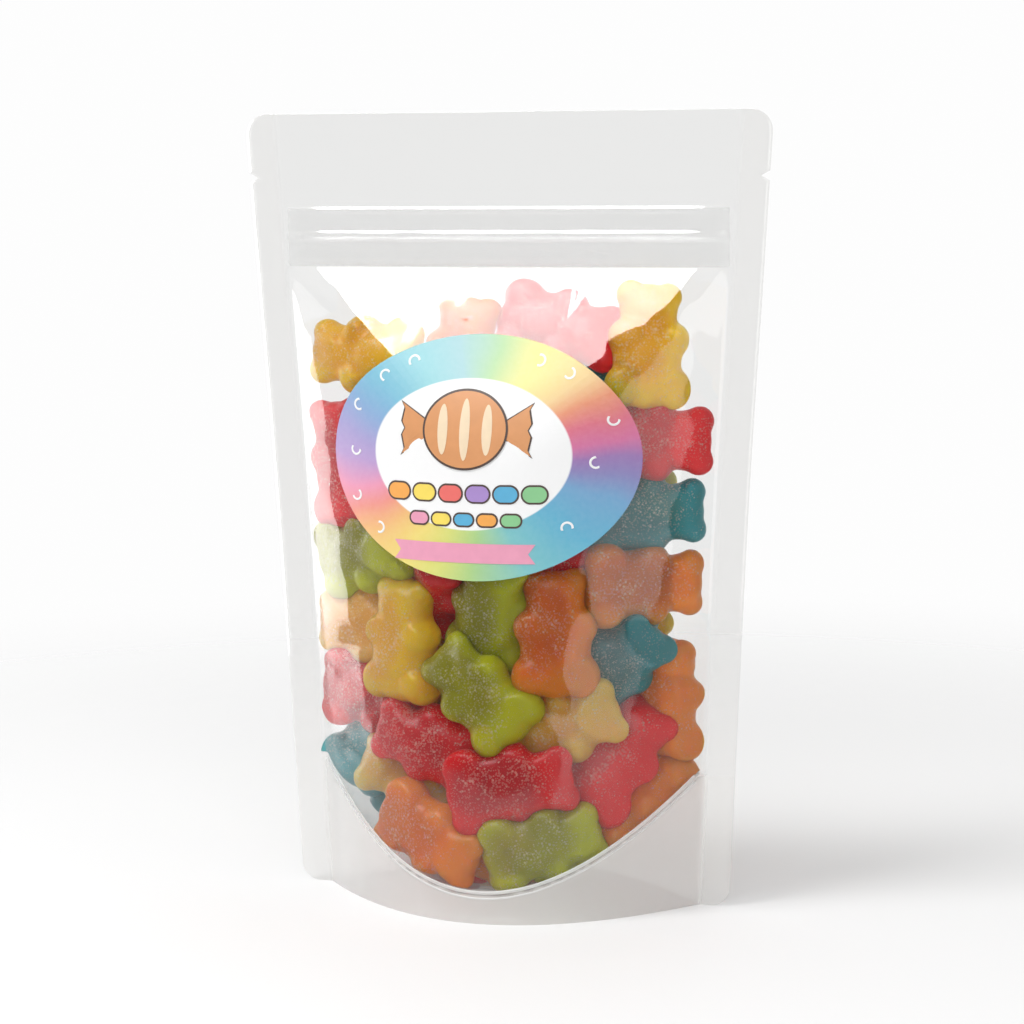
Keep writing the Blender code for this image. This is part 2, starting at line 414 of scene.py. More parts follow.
def graded_rows():
    """Row heights up a film panel, closer together round the corners and the tear notches."""
    turns = np.linspace(0, math.pi / 2, 9)
    bottom = BOTTOM_CORNER * (1 - np.cos(turns))
    top = HEIGHT - TOP_CORNER * (1 - np.cos(turns))
    notch = TEAR_NOTCH_HEIGHT + TEAR_NOTCH_HALF_HEIGHT * np.array([-1, 0, 1])
    regular = np.arange(BOTTOM_CORNER + 0.7 * MM, HEIGHT - TOP_CORNER, 0.9 * MM)
    near_notch = np.abs(regular[:, None] - notch[None]).min(axis=1) < 0.4 * MM
    closure = np.arange(ZIP_LOW[2] - MM, ZIP_HIGH[2] + MM, 0.3 * MM)
    closure = closure[np.abs(closure[:, None] - regular[None]).min(axis=1) > 0.1 * MM]
    return np.sort(np.concatenate([bottom, top, notch, regular[~near_notch], closure]))


def graded_columns():
    """Places across a film panel: the bag between the seals from -1 to 1, and the seals out to 2."""
    seal = 1 + np.linspace(0, 1, 7)[1:]
    middle = np.linspace(-1, 1, 105)
    return np.concatenate([-seal[::-1], middle, seal])


def film_wrinkles(x, z, side):
    """Soft dents and creases, fading out at the seals and the floor."""
    across = np.clip(1 - np.abs(x) / inner_half_width(z), 0.0, 1.0)
    fade = np.clip(across * 6, 0, 1) * np.clip(z / (12 * MM), 0.15, 1)
    waves = [
        noise.noise(Vector((px * 75 + 7 * side, 3.1 * side, pz * 60)))
        + 0.5 * noise.noise(Vector((px * 190, 9.3 * side, pz * 150)))
        for px, pz in zip(x, z)
    ]
    header = np.clip((z - ZIP_LOW[2]) / (8 * MM), 0, 1)
    depth = 0.45 * MM * (1 - header) + 0.12 * MM * header
    if side < 0:
        oval = ((x - LABEL_CENTRE[0]) / LABEL_HALF[0]) ** 2 + ((z - LABEL_CENTRE[1]) / LABEL_HALF[1]) ** 2
        depth = depth * np.clip((oval - 0.95) * 2.5, 0, 1)
    return depth * fade * np.maximum(np.array(waves), -0.25)


# How hazy the skirt under the base seam is, from the left side seal to the right one.
SKIRT_PLACES = (-38 * MM, -12 * MM, 12 * MM, 38 * MM)
SKIRT_HAZE = (0.35, 1.0, 1.0, 0.75)


def film_panel(name, side, material):
    """One film panel, seal edge to seal edge and floor to header. side is -1 at the front."""
    rows, columns = graded_rows(), graded_columns()
    deselect_all()
    bpy.ops.mesh.primitive_grid_add(
        x_subdivisions=len(columns) - 1, y_subdivisions=len(rows) - 1, size=1
    )
    panel = named(name)
    across = np.tile(columns, len(rows))
    z = np.repeat(rows, len(columns))
    inner, outer = inner_half_width(z), outer_half_width(z)
    beyond = np.clip(np.abs(across) - 1, 0, 1)
    x = np.sign(across) * (np.minimum(np.abs(across), 1) * inner + beyond * (outer - inner))
    y = side * (half_depth(x, z) + film_wrinkles(x, z, side))
    move_points(panel, np.stack([x, y, z], axis=1))
    seam = seam_height(x)
    side_seal = np.clip(beyond * 20, 0, 1)
    skirt = np.clip((seam - z) / (0.6 * MM), 0, 1) * (1.9 - 1.2 * side_seal)
    skirt = skirt * np.interp(x, SKIRT_PLACES, SKIRT_HAZE)
    weld = np.maximum(0.27 * side_seal, skirt)
    write_attribute(panel, "weld", weld)
    if side > 0:
        pick(panel)
        bpy.ops.object.mode_set(mode="EDIT")
        bpy.ops.mesh.select_all(action="SELECT")
        bpy.ops.mesh.flip_normals()
        bpy.ops.object.mode_set(mode="OBJECT")
    apply_modifier(panel, "SOLIDIFY", thickness=FILM_THICKNESS, offset=0.0)
    panel.data.shade_smooth()
    panel.data.materials.append(material)
    return panel


def gusset_web(material):
    """The web of film across the base, from the front seam down and up again to the back seam."""
    columns, steps = np.linspace(-1, 1, 81), np.linspace(-1, 1, 33)
    deselect_all()
    bpy.ops.mesh.primitive_grid_add(
        x_subdivisions=len(columns) - 1, y_subdivisions=len(steps) - 1, size=1
    )
    web = named("gusset_film")
    end = inner_half_width(SEAM_MIDDLE)
    x = np.tile(columns, len(steps)) * end
    f = np.repeat(steps, len(columns))
    seam = seam_height(x)
    y = f * np.maximum(half_depth(x, seam) - 2 * FILM_THICKNESS, 0.05 * MM)
    z = gusset_height(x, y)
    dents = [noise.noise(Vector((px * 130, py * 130, 4.7))) for px, py in zip(x, y)]
    z = z + 0.3 * MM * np.array(dents) * (1 - f**2)
    move_points(web, np.stack([x, y, z], axis=1))
    write_attribute(web, "weld", np.zeros(len(x)))
    apply_modifier(web, "SOLIDIFY", thickness=FILM_THICKNESS, offset=0.0)
    web.data.shade_smooth()
    web.data.materials.append(material)
    return web


def seam_bead(side, drop, radius, material):
    """The raised line that the hot bar leaves along the U-shaped seam of one panel."""
    columns, turns = np.linspace(-1, 1, 121), np.linspace(0, 2 * math.pi, 9)
    deselect_all()
    bpy.ops.mesh.primitive_grid_add(
        x_subdivisions=len(columns) - 1, y_subdivisions=len(turns) - 1, size=1
    )
    bead = named("seam_bead")
    x = np.tile(columns, len(turns)) * (inner_half_width(SEAM_MIDDLE) - 0.3 * MM)
    turn = np.repeat(turns, len(columns))
    z = seam_height(x) - drop
    steep = (seam_height(x + MM) - seam_height(x - MM)) / (2 * MM)
    length = np.sqrt(1 + steep**2)
    offset = radius * np.cos(turn)
    points_x, points_z = x - offset * steep / length, z + offset / length
    y = side * (half_depth(points_x, points_z) + FILM_THICKNESS / 2 + radius * 0.8 * np.sin(turn))
    move_points(bead, np.stack([points_x, y, points_z], axis=1))
    pick(bead)
    bpy.ops.object.mode_set(mode="EDIT")
    bpy.ops.mesh.select_all(action="SELECT")
    bpy.ops.mesh.remove_doubles(threshold=0.01 * MM)
    bpy.ops.mesh.select_all(action="DESELECT")
    bpy.ops.mesh.select_non_manifold()
    bpy.ops.mesh.edge_face_add()
    bpy.ops.mesh.select_all(action="SELECT")
    bpy.ops.mesh.normals_make_consistent(inside=False)
    bpy.ops.object.mode_set(mode="OBJECT")
    bead.data.shade_smooth()
    bead.data.materials.append(material)
    return bead


def seam_beads(material):
    beads = []
    for side in (-1, 1):
        for drop, radius in ((0.0, 0.34 * MM), (1.1 * MM, 0.22 * MM)):
            beads.append(seam_bead(side, drop, radius, material))
    pick(*beads)
    bpy.ops.object.join()
    return named("seam_beads")


# ---------------------------------------------------------------- zip


def zip_strip(material):
    """The two halves of the zip pressed shut: a flange with rounded ribs along it."""
    low, high = Vector(ZIP_LOW), Vector(ZIP_HIGH)
    middle, size = (low + high) / 2, high - low
    deselect_all()
    bpy.ops.mesh.primitive_cube_add(size=1, location=middle)
    strip = named("zip_strip")
    strip.scale = (size.x, 1.1 * MM, size.z)
    settle_transform(strip)
    for drop, radius in ((0.6, 0.75), (2.9, 0.7), (5.2, 1.15), (7.4, 0.7), (9.8, 0.75)):
        bpy.ops.mesh.primitive_cylinder_add(
            vertices=24,
            radius=radius * MM,
            depth=size.x,
            location=(0, 0, high.z - drop * MM),
            rotation=(0, math.pi / 2, 0),
        )
        rib = named("zip_rib")
        settle_transform(rib)
        apply_modifier(strip, "BOOLEAN", object=rib, operation="UNION")
        bpy.data.objects.remove(rib, do_unlink=True)
    apply_modifier(strip, "BEVEL", width=0.15 * MM, segments=2, limit_method="ANGLE")
    pick(strip)
    bpy.ops.object.shade_smooth_by_angle(angle=math.radians(35))
    strip.data.materials.append(material)
    return strip


# ---------------------------------------------------------------- label


def on_label(points, lift):
    """Lays flat points, given as x and height, on the label's curved face."""
    x, z = points[:, 0], points[:, 2]
    y = -half_depth(x, z) - LABEL_LIFT - lift
    return np.stack([x, y, z], axis=1)


# The ring's printed colours, by their angle in degrees round from the right, anticlockwise.
RING_COLOURS = [
    (0, (0.36, 0.19, 0.50)),
    (10, (0.74, 0.18, 0.40)),
    (24, (0.83, 0.18, 0.26)),
    (38, (0.92, 0.34, 0.18)),
    (50, (0.98, 0.70, 0.32)),
    (68, (0.96, 0.88, 0.30)),
    (84, (0.50, 0.76, 0.38)),
    (100, (0.40, 0.68, 0.72)),
    (120, (0.30, 0.68, 0.74)),
    (140, (0.22, 0.58, 0.76)),
    (154, (0.26, 0.46, 0.76)),
    (170, (0.42, 0.38, 0.72)),
    (182, (0.54, 0.36, 0.70)),
    (196, (0.94, 0.34, 0.52)),
    (210, (0.96, 0.32, 0.26)),
    (224, (0.98, 0.52, 0.20)),
    (240, (0.98, 0.78, 0.20)),
    (256, (0.78, 0.80, 0.20)),
    (272, (0.46, 0.72, 0.26)),
    (290, (0.22, 0.62, 0.64)),
    (315, (0.12, 0.50, 0.72)),
    (335, (0.18, 0.42, 0.70)),
    (350, (0.28, 0.25, 0.56)),
    (360, (0.36, 0.19, 0.50)),
]
WHITE_OVAL_CENTRE = (LABEL_CENTRE[0] - 1.1 * MM, LABEL_CENTRE[1] + 0.7 * MM)
WHITE_OVAL_HALF = (19.0 * MM, 13.6 * MM)


def paper_shader(material, place, colour):
    fibres = noise_pattern(material, place, 1500.0, 3.0)
    bump = node(material, "ShaderNodeBump", Strength=0.12, Distance=0.05 * MM)
    link(material, fibres, bump.inputs["Height"])
    shader = node(material, "ShaderNodeBsdfPrincipled", Roughness=0.45)
    shader.inputs["Specular IOR Level"].default_value = 0.35
    link(material, colour, shader.inputs["Base Color"])
    link(material, bump.outputs[0], shader.inputs["Normal"])
    out = node(material, "ShaderNodeOutputMaterial")
    link(material, shader.outputs[0], out.inputs["Surface"])


def label_material():
    """Printed label: soft bands of colour run round a plain white oval."""
    made = new_material("label_print", (0.7, 0.8, 0.9))
    place = object_place(made)
    parts = node(made, "ShaderNodeSeparateXYZ")
    link(made, place, parts.inputs[0])
    x = maths(made, "DIVIDE", maths(made, "SUBTRACT", parts.outputs[0], LABEL_CENTRE[0]), LABEL_HALF[0])
    z = maths(made, "DIVIDE", maths(made, "SUBTRACT", parts.outputs[2], LABEL_CENTRE[1]), LABEL_HALF[1])
    turn = maths(made, "DIVIDE", maths(made, "ARCTAN2", z, x), 2 * math.pi)
    drift = maths(made, "SUBTRACT", noise_pattern(made, place, 60.0, 1.0), 0.5)
    turn = maths(made, "ADD", turn, maths(made, "MULTIPLY", drift, 0.07))
    turn = maths(made, "FRACT", maths(made, "ADD", turn, 1.0))
    ring = ramp(made, turn, [(angle / 360, colour) for angle, colour in RING_COLOURS])
    speckle = noise_pattern(made, place, 1100.0, 2.0)
    ring = mix_colour(made, 0.16, ring, (0.0, 0.0, 0.0, 1))
    ring = mix_colour(made, maths(made, "MULTIPLY", speckle, 0.08), ring, (0.95, 0.95, 0.95, 1))

    ox = maths(made, "SUBTRACT", parts.outputs[0], WHITE_OVAL_CENTRE[0])
    oz = maths(made, "SUBTRACT", parts.outputs[2], WHITE_OVAL_CENTRE[1])
    ox = maths(made, "DIVIDE", ox, WHITE_OVAL_HALF[0])
    oz = maths(made, "DIVIDE", oz, WHITE_OVAL_HALF[1])
    span = maths(made, "ADD", maths(made, "MULTIPLY", ox, ox), maths(made, "MULTIPLY", oz, oz))
    inside = maths(made, "MULTIPLY", maths(made, "SUBTRACT", 1.0, span), 30.0, clamp=True)
    paper_shader(made, place, mix_colour(made, inside, ring, (0.90, 0.90, 0.90, 1)))
    return made


def ink_material(name, colour):
    made = new_material(name, colour)
    place = object_place(made)
    cloud = noise_pattern(made, place, 500.0, 2.0)
    darker = tuple(0.88 * c for c in colour)
    paper_shader(made, place, mix_colour(made, cloud, (*darker, 1), (*colour, 1)))
    return made


def patch(name, outline, centre, lift, thickness, material, rings=2):
    """A thin closed sheet laid on the label's face. The outline is a ring of points round the centre."""
    sides = len(outline)
    deselect_all()
    bpy.ops.mesh.primitive_circle_add(vertices=sides, radius=1, fill_type="NGON")
    sheet = named(name)
    bpy.ops.object.mode_set(mode="EDIT")
    bpy.ops.mesh.select_all(action="SELECT")
    for ring in range(rings):
        bpy.ops.mesh.inset(thickness=math.cos(math.pi / sides) / (rings + 1))
    bpy.ops.mesh.poke()
    bpy.ops.object.mode_set(mode="OBJECT")
    unit = points_of(sheet)
    reach = np.hypot(unit[:, 0], unit[:, 1])
    step = (np.arctan2(unit[:, 0], unit[:, 1]) / (2 * math.pi) % 1.0) * sides
    wrapped = np.array([*outline, outline[0]])
    across = reach * np.interp(step, np.arange(sides + 1), wrapped[:, 0])
    up = reach * np.interp(step, np.arange(sides + 1), wrapped[:, 1])
    flat = np.stack([centre[0] + across, np.zeros_like(across), centre[1] + up], axis=1)
    move_points(sheet, on_label(flat, lift))
    apply_modifier(sheet, "SOLIDIFY", thickness=thickness, offset=0.0)
    pick(sheet)
    bpy.ops.object.mode_set(mode="EDIT")
    bpy.ops.mesh.select_all(action="SELECT")
    bpy.ops.mesh.normals_make_consistent(inside=False)
    bpy.ops.object.mode_set(mode="OBJECT")
    sheet.data.materials.append(material)
    return sheet


def oval_outline(half_width, half_height, points):
    turns = [2 * math.pi * i / points for i in range(points)]
    return [(half_width * math.sin(t), half_height * math.cos(t)) for t in turns]


def pill_outline(half_width, half_height, points=24):
    """A bar with round ends, clockwise from the top."""
    straight = half_width - half_height
    outline = []
    for i in range(points):
        turn = 2 * math.pi * (i + 0.5) / points
        side = 1 if math.sin(turn) > 0 else -1
        outline.append((side * straight + half_height * math.sin(turn), half_height * math.cos(turn)))
    return outline


def ribbon_outline(half_width, half_height, notch):
    """A banner with swallow-tail ends, clockwise from the top."""
    steps = np.linspace(0, 1, 9)
    right = [(half_width * t, half_height) for t in steps]
    right += [(half_width - notch, 0.0)]
    right += [(half_width * t, -half_height) for t in steps[::-1]]
    left = [(-x, z) for x, z in right[::-1]][1:-1]
    return right + left


def fan_outline(side, inner, outer, points=8):
    """A twist of wrapper: narrow at the sweet, wide and scalloped at its end."""
    outline = []
    for i in range(points + 1):
        t = i / points
        wave = 0.35 * MM * math.cos(t * 6 * math.pi)
        outline.append((side * (2.4 * MM + wave), outer * (1 - 2 * t)))
    outline += [(side * -2.4 * MM, -inner), (side * -2.4 * MM, inner)]
    return outline if side > 0 else outline[::-1]


# Inks for the label's plain marks.
INKS = {
    "outline": (0.10, 0.07, 0.06),
    "tan": (0.72, 0.33, 0.14),
    "cream": (0.90, 0.72, 0.50),
    "white": (0.94, 0.94, 0.94),
    "pink": (0.84, 0.36, 0.50),
    "red": (0.86, 0.18, 0.16),
    "orange": (0.93, 0.42, 0.10),
    "yellow": (0.95, 0.74, 0.14),
    "green": (0.28, 0.62, 0.30),
    "blue": (0.12, 0.45, 0.70),
    "violet": (0.42, 0.28, 0.62),
}
BAR_ROWS = [
    (-6.2, 5.2, 1.75, ["orange", "yellow", "red", "violet", "blue", "green"]),
    (-10.9, 4.4, 1.35, ["pink", "yellow", "blue", "orange", "green"]),
]
# Each small curl in the ring: its angle round from the right, and how far out it lies.
CURLS = [
    (133, 0.90), (119, 0.89), (153, 0.90), (178, 0.83), (203, 0.90), (223, 0.89),
    (65, 0.88), (51, 0.90), (21, 0.90), (-2, 0.74), (-44, 0.80),
]


def label_marks(inks):
    """Plain marks: a wrapped sweet, two rows of bars, a bare ribbon and small curls."""
    marks = []
    thin = 0.03 * MM

    def stamp(ink, outline, offset, layer, rings=2):
        centre = (LABEL_CENTRE[0] + offset[0], LABEL_CENTRE[1] + offset[1])
        lift = (0.11 + 0.05 * layer) * MM
        marks.append(patch("mark", outline, centre, lift, thin, inks[ink], rings))

    sweet = (-1.8 * MM, 5.2 * MM)
    for side in (-1, 1):
        fan = (sweet[0] + side * 9.6 * MM, sweet[1])
        grown = [(1.12 * x, 1.08 * z) for x, z in fan_outline(side, 1.3 * MM, 4.6 * MM)]
        stamp("outline", grown, fan, 0, rings=3)
        stamp("tan", fan_outline(side, 1.3 * MM, 4.6 * MM), fan, 1, rings=3)
    stamp("outline", oval_outline(8.1 * MM, 7.2 * MM, 64), sweet, 2, rings=6)
    stamp("tan", oval_outline(7.7 * MM, 6.8 * MM, 64), sweet, 3, rings=6)
    for across in (-4.2, 0.0, 4.2):
        tall = 6.2 * math.sqrt(1 - (across / 7.7) ** 2) - 0.7
        spot = (sweet[0] + across * MM, sweet[1])
        stamp("cream", oval_outline(0.95 * MM, tall * MM, 24), spot, 4, rings=3)

    for up, pitch, half_height, colours in BAR_ROWS:
        start = -1.7 - pitch * (len(colours) - 1) / 2
        for i, ink in enumerate(colours):
            spot = ((start + pitch * i) * MM, up * MM)
            half = (pitch / 2 - 0.12) * MM
            stamp("outline", pill_outline(half, half_height * MM), spot, 0)
            inner = (half_height - 0.34) * MM
            stamp(ink, pill_outline(half - 0.34 * MM, inner), spot, 1)

    stamp("pink", ribbon_outline(13.6 * MM, 1.75 * MM, 1.3 * MM), (-2.1 * MM, -16.9 * MM), 0, rings=8)

    for angle, reach in CURLS:
        turn = math.radians(angle)
        spot = (reach * LABEL_HALF[0] * math.cos(turn), reach * LABEL_HALF[1] * math.sin(turn))
        marks.append(curl(spot, angle, inks["white"]))
    pick(*marks)
    bpy.ops.object.join()
    return named("label_marks")


def curl(offset, angle, ink):
    """A small open ring, like a printed squiggle."""
    centre = (LABEL_CENTRE[0] + offset[0], LABEL_CENTRE[1] + offset[1])
    deselect_all()
    bpy.ops.mesh.primitive_torus_add(
        major_segments=24, minor_segments=6, major_radius=0.95 * MM, minor_radius=0.20 * MM
    )
    ring = named("curl")
    bpy.ops.object.mode_set(mode="EDIT")
    bpy.ops.mesh.select_all(action="SELECT")
    bpy.ops.mesh.bisect(
        plane_co=(0.3 * MM, 0, 0), plane_no=(1, 0.4, 0), clear_outer=True, use_fill=True
    )
    bpy.ops.mesh.select_all(action="SELECT")
    bpy.ops.mesh.normals_make_consistent(inside=False)
    bpy.ops.object.mode_set(mode="OBJECT")
    spin = math.radians(angle * 2.3)
    x, y, z = points_of(ring).T
    flat_x = centre[0] + x * math.cos(spin) - y * math.sin(spin)
    flat_z = centre[1] + x * math.sin(spin) + y * math.cos(spin)
    points = np.stack([flat_x, np.zeros_like(flat_x), flat_z], axis=1)
    points = on_label(points, 0.1 * MM)
    points[:, 1] -= z * 0.3
    move_points(ring, points)
    pick(ring)
    bpy.ops.object.mode_set(mode="EDIT")
    bpy.ops.mesh.select_all(action="SELECT")
    bpy.ops.mesh.normals_make_consistent(inside=False)
    bpy.ops.object.mode_set(mode="OBJECT")
    ring.data.materials.append(ink)
    return ring


# ---------------------------------------------------------------- gummy bears

BEAR_LENGTH = 23.4 * MM
BEAR_BACK = 4.2 * MM

# Each lump of a bear: its centre and its radii, in millimetres. The head is up and the belly faces -Y.
BEAR_LUMPS = [
    ((0.0, 0.0, -1.6), (6.5, 4.9, 9.4)),
    ((0.0, -0.2, 7.0), (5.5, 4.8, 4.7)),
    ((0.0, 0.0, 3.6), (5.7, 4.7, 4.4)),
    ((0.0, -0.3, -7.8), (5.6, 4.7, 3.8)),
    ((0.0, -2.2, -2.6), (4.6, 3.5, 4.9)),
    ((0.0, -4.1, 6.2), (2.7, 1.9, 2.0)),
    ((3.6, -0.2, 9.5), (2.7, 3.0, 2.7)),
    ((-3.6, -0.2, 9.5), (2.7, 3.0, 2.7)),
    ((4.9, -0.6, 1.5), (2.8, 4.0, 3.2)),
    ((-4.9, -0.6, 1.5), (2.8, 4.0, 3.2)),
    ((4.3, -3.3, 1.8), (2.4, 2.1, 2.2)),
    ((-4.3, -3.3, 1.8), (2.4, 2.1, 2.2)),
    ((4.7, -0.6, -7.6), (3.4, 4.4, 4.0)),
    ((-4.7, -0.6, -7.6), (3.4, 4.4, 4.0)),
    ((4.4, -3.2, -7.4), (2.7, 2.3, 2.9)),
    ((-4.4, -3.2, -7.4), (2.7, 2.3, 2.9)),
]

# The same bear as a few balls, for packing: centre and radius in millimetres.
BEAR_BALLS = [
    ((1.5, -0.4, 6.9), 4.3),
    ((-1.5, -0.4, 6.9), 4.3),
    ((3.8, -0.2, 9.3), 2.4),
    ((-3.8, -0.2, 9.3), 2.4),
    ((2.3, -0.5, 1.8), 4.5),
    ((-2.3, -0.5, 1.8), 4.5),
    ((4.6, -0.9, 1.6), 2.7),
    ((-4.6, -0.9, 1.6), 2.7),
    ((2.2, -0.5, -3.4), 4.4),
    ((-2.2, -0.5, -3.4), 4.4),
    ((4.1, -0.8, -7.5), 3.6),
    ((-4.1, -0.8, -7.5), 3.6),
    ((0.0, -0.5, -7.6), 3.8),
]


def bear_mould():
    """One bear, cast in a flat-backed mould: lumps run together and soften, and the back is level."""
    lumps = []
    for centre, radii in BEAR_LUMPS:
        bpy.ops.mesh.primitive_uv_sphere_add(segments=32, ring_count=20, radius=MM)
        lump = named("lump")
        lump.location = [c * MM for c in centre]
        lump.scale = radii
        settle_transform(lump)
        lumps.append(lump)
    pick(*lumps)
    bpy.ops.object.join()
    bear = named("bear")
    pick(bear)
    bpy.ops.object.mode_set(mode="EDIT")
    bpy.ops.mesh.select_all(action="SELECT")
    bpy.ops.mesh.bisect(
        plane_co=(0, BEAR_BACK, 0), plane_no=(0, 1, 0), clear_outer=True, use_fill=True
    )
    bpy.ops.object.mode_set(mode="OBJECT")
    apply_modifier(bear, "REMESH", mode="VOXEL", voxel_size=0.55 * MM)
    apply_modifier(bear, "SMOOTH", factor=0.5, iterations=9)
    bear.data.shade_smooth()
    return bear


class Placing:
    """Where one bear lies: its centre, its turn, its colour, and whether it is held to its place."""

    def __init__(self, colour, centre, turn, held):
        self.colour, self.centre, self.turn, self.held = colour, np.array(centre), turn, held


def lying(turn_deg, lean_deg, back_out):
    """Head turned this far clockwise, leaning with the film, belly or back towards the front."""
    flip = Matrix.Rotation(math.pi if back_out else 0.0, 3, "Z")
    clock = Matrix.Rotation(math.radians(turn_deg), 3, "Y")
    lean = Matrix.Rotation(math.radians(lean_deg), 3, "Z")
    return np.array(lean @ clock @ flip)


# The bears seen through the front: colour, across and up in mm, head's turn clockwise from up,
# whether the flat back shows, and how far behind the foremost bears it lies, in mm.
FRONT_BEARS = [
    ("yellow", -25.5, 101, -86, False, 0),
    ("orange", -7.5, 101, 4, True, 0),
    ("red", 11, 106, 92, False, 0),
    ("teal", 13, 95, 100, True, 5),
    ("yellow", 28, 100, 12, False, 0),
    ("red", 30, 87, 86, False, 1),
    ("teal", 28, 73, 86, True, 1),
    ("orange", 28.5, 60, 98, False, 0),
    ("red", -33, 79, 3, True, 0),
    ("green", -27, 63.5, 80, False, 0),
    ("amber", -30.5, 49, -82, True, 2),
    ("yellow", -19, 47, 18, False, 0),
    ("red", -13, 58, 70, True, 4),
    ("green", 0, 55, 28, True, 2),
    ("green", -2, 37.5, -34, False, 0),
    ("orange", 13.5, 50.5, 14, False, 0),
    ("teal", 24.5, 45.6, 42, True, 0),
    ("orange", 32, 34, 8, True, 3),
    ("red", -30.5, 35.5, 86, False, 1),
    ("red", -13.5, 29, -42, True, 0),
    ("teal", -29, 25, 4, False, 2),
    ("amber", -20.5, 19.5, -86, False, 1),
    ("red", 4, 23.5, 76, True, 0),
    ("amber", 16.5, 33, 84, False, 3),
    ("red", 25, 25.5, 40, True, 0),
    ("orange", -12, 12, 82, False, 0),
    ("green", 9, 12.5, 76, False, 0),
    ("amber", -12, 76, 40, False, 1),
    ("red", 8, 70, -30, True, 1),
    ("green", -14, 88, 95, False, 2),
    ("yellow", 10, 84, 100, True, 1),
]
COLOUR_NAMES = ["red", "orange", "amber", "yellow", "green", "teal"]
HIDDEN_BEARS = 36


# The base seam climbs by this much over this distance from the middle, and low bears lean along it.
SEAM_RISE = 18 * MM
SEAM_REACH = 39 * MM


def front_placings():
    placings = []
    for colour, across, up, turn, back_out, behind in FRONT_BEARS:
        x, z = across * MM, up * MM
        depth = float(half_depth(x, z)) - (5.0 + behind) * MM
        lean = math.degrees(math.atan(2 * x * SEAM_RISE / SEAM_REACH**2 * 0.5))
        turned = lying(turn, lean, back_out)
        placings.append(Placing(colour, (x, -max(depth, 0.0), z), turned, True))
    return placings


def hidden_placings(draw):
    """The bears behind the front ones, dropped in at random on a loose lattice."""
    placings = []
    spots = []
    for level in range(8):
        z = (10 + level * 12.5) * MM
        reach = float(half_depth(0.0, z))
        for row in range(3):
            y = (-0.1 + 0.42 * row) * reach
            for column in range(3):
                spots.append(((column - 1) * 21 * MM, y, z))
    draw.shuffle(spots)
    spots = [s for s in spots if s[1] > -1 * MM][:HIDDEN_BEARS]
    for i, (x, y, z) in enumerate(spots):
        jitter = [draw.uniform(-2, 2) * MM for _ in range(3)]
        spin = Matrix.Rotation(draw.uniform(0, 2 * math.pi), 3, "Y")
        tip = Matrix.Rotation(draw.uniform(-0.5, 0.5), 3, "X")
        flip = Matrix.Rotation(draw.choice([0, math.pi]), 3, "Z")
        turned = np.array(tip @ spin @ flip)
        centre = (x + jitter[0], y + jitter[1], z + jitter[2])
        placings.append(Placing(COLOUR_NAMES[i % len(COLOUR_NAMES)], centre, turned, False))
    return placings


def rotation_of(vector):
    """Small turns, one for each bear, as rotation matrices."""
    angle = np.linalg.norm(vector, axis=1)[:, None, None]
    x, y, z = vector.T
    zero = np.zeros_like(x)
    cross = np.stack([zero, -z, y, z, zero, -x, -y, x, zero], axis=1).reshape(-1, 3, 3)
    safe = np.maximum(angle, 1e-9)
    return np.eye(3) + cross * (np.sin(safe) / safe) + cross @ cross * ((1 - np.cos(safe)) / safe**2)


def bag_push(points, radii):
    """How far each ball has to move to lie inside the film."""
    x, y, z = points.T
    step = 0.2 * MM
    depth = half_depth(x, z) - 0.25 * MM
    slope_x = (half_depth(x + step, z) - half_depth(x - step, z)) / (2 * step)
    slope_z = (half_depth(x, z + step) - half_depth(x, z - step)) / (2 * step)
    length = np.sqrt(1 + slope_x**2 + slope_z**2)
    push = np.zeros_like(points)
    for side in (-1, 1):
        over = np.maximum(side * y + radii * length - depth, 0.0) / length**2
        push += over[:, None] * np.stack([slope_x, np.full_like(x, -side), slope_z], axis=1)
    floor = gusset_height(x, y) + 0.25 * MM
    push[:, 2] += np.maximum(floor + radii - z, 0.0)
    ceiling = SHOULDER_TOP - 1.5 * MM
    push[:, 2] -= np.maximum(z + radii - ceiling, 0.0)
    return push


# Soft bears press into each other, so they pack as if they were this much smaller.
SQUASHED = 0.88
HELD_PULL = np.array([0.16, 0.05, 0.16])


